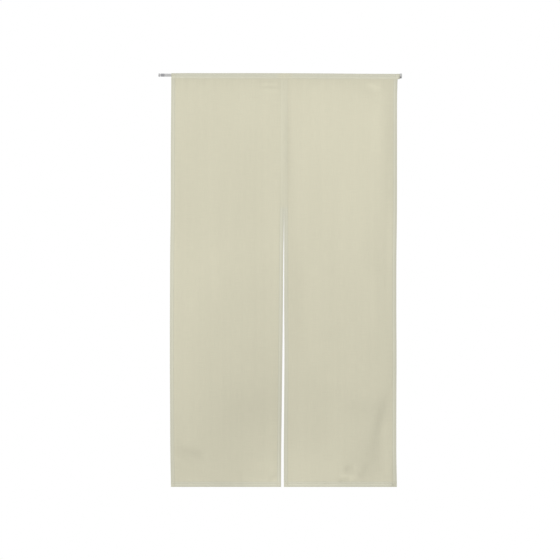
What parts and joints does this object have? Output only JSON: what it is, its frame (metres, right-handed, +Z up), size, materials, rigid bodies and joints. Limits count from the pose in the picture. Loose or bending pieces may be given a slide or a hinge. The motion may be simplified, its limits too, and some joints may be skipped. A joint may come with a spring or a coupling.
{
  "type": "noren curtain on a tension rod",
  "caption": "Plain cloth doorway curtain in two long panels, parted by a slit below a sewn join, hanging by rod pockets on a slim tension rod.",
  "frame": {"origin": "middle of the left foot's flat end face, on the rod's axis", "axes": "+X along the rod to the right foot, +Z up, -Y towards the room that the front of the cloth faces"},
  "size_m": [0.882, 0.0285, 1.501],
  "materials": {
    "cloth": "plain weave, matt, pale greenish beige",
    "rod_enamel": "smooth off-white enamel",
    "foot_rubber": "matt grey"
  },
  "bodies": {
    "root": {"panel_left": "cloth", "panel_right": "cloth", "rod_outer_tube": "rod_enamel", "rod_inner_tube": "rod_enamel", "rod_foot_left": "foot_rubber", "rod_foot_right": "foot_rubber"}
  },
  "joints": []
}
